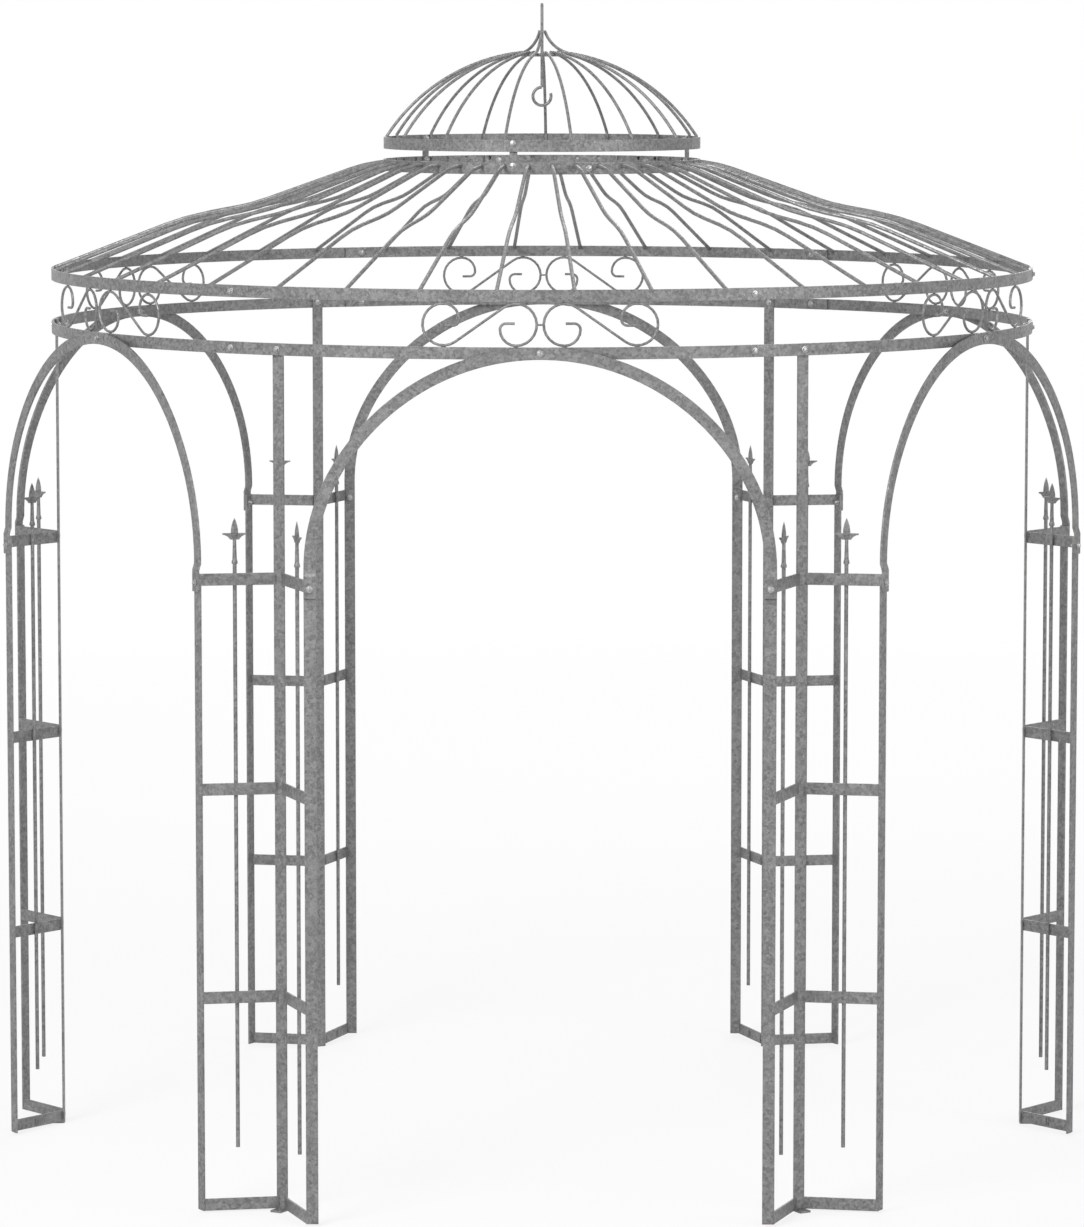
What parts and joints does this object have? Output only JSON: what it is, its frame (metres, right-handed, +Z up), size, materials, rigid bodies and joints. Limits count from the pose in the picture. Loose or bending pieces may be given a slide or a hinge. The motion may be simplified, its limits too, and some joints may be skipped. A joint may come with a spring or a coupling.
{
  "type": "gazebo",
  "caption": "Open hexagonal garden gazebo of galvanised flat bar and rod, with arched sides, ladder pillars, a scroll frieze, a swept rod roof and a small ribbed dome.",
  "frame": {"origin": "centre of the footprint, on the ground under the foot plates", "axes": "+Z up along the finial, -Y out of the front side, +X to the right as seen from the front"},
  "size_m": [2.848, 2.6212, 3.0078],
  "materials": {
    "galvanised_flat": "hot-dip galvanised flat bar, fine spangle",
    "galvanised_rod": "hot-dip galvanised rod, fine spangle"
  },
  "bodies": {
    "root": {"corner_post_1": "galvanised_flat", "corner_post_2": "galvanised_flat", "corner_post_3": "galvanised_flat", "corner_post_4": "galvanised_flat", "corner_post_5": "galvanised_flat", "corner_post_6": "galvanised_flat", "wing_left_1": "galvanised_flat", "wing_left_2": "galvanised_flat", "wing_left_3": "galvanised_flat", "wing_left_4": "galvanised_flat", "wing_left_5": "galvanised_flat", "wing_left_6": "galvanised_flat", "wing_right_1": "galvanised_flat", "wing_right_2": "galvanised_flat", "wing_right_3": "galvanised_flat", "wing_right_4": "galvanised_flat", "wing_right_5": "galvanised_flat", "wing_right_6": "galvanised_flat", "arch_1": "galvanised_flat", "arch_2": "galvanised_flat", "arch_3": "galvanised_flat", "arch_4": "galvanised_flat", "arch_5": "galvanised_flat", "arch_6": "galvanised_flat", "lower_ring_1": "galvanised_flat", "lower_ring_2": "galvanised_flat", "lower_ring_3": "galvanised_flat", "lower_ring_4": "galvanised_flat", "lower_ring_5": "galvanised_flat", "lower_ring_6": "galvanised_flat", "scroll_pair_1": "galvanised_rod", "scroll_pair_2": "galvanised_rod", "scroll_pair_3": "galvanised_rod", "scroll_pair_4": "galvanised_rod", "scroll_pair_5": "galvanised_rod", "scroll_pair_6": "galvanised_rod", "roof_panel_1": "galvanised_rod", "roof_panel_2": "galvanised_rod", "roof_panel_3": "galvanised_rod", "roof_panel_4": "galvanised_rod", "roof_panel_5": "galvanised_rod", "roof_panel_6": "galvanised_rod", "crown_ring": "galvanised_flat", "dome_struts": "galvanised_flat", "dome": "galvanised_rod", "finial": "galvanised_rod"}
  },
  "joints": []
}
